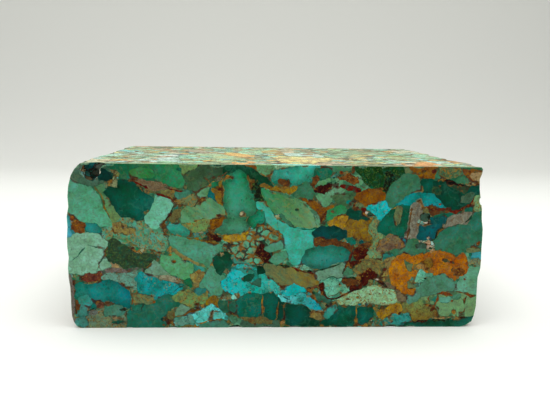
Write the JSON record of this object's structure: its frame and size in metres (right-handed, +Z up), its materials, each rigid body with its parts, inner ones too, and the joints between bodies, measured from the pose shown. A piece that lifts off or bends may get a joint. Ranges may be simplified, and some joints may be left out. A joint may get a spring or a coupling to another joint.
{
  "type": "compressed turquoise block",
  "caption": "Sawn rectangular block of turquoise fragments bonded under pressure, with flat cut faces, rough cast ends and a chipped corner.",
  "frame": {"origin": "middle of the flat sawn underside, where the block rests", "axes": "+X along the block's length, -Y out of the sawn front face, +Z up out of the sawn top face"},
  "size_m": [0.1568, 0.108, 0.0615],
  "materials": {
    "turquoise": "satin sawn"
  },
  "bodies": {
    "root": {"turquoise_block": "turquoise"}
  },
  "joints": []
}
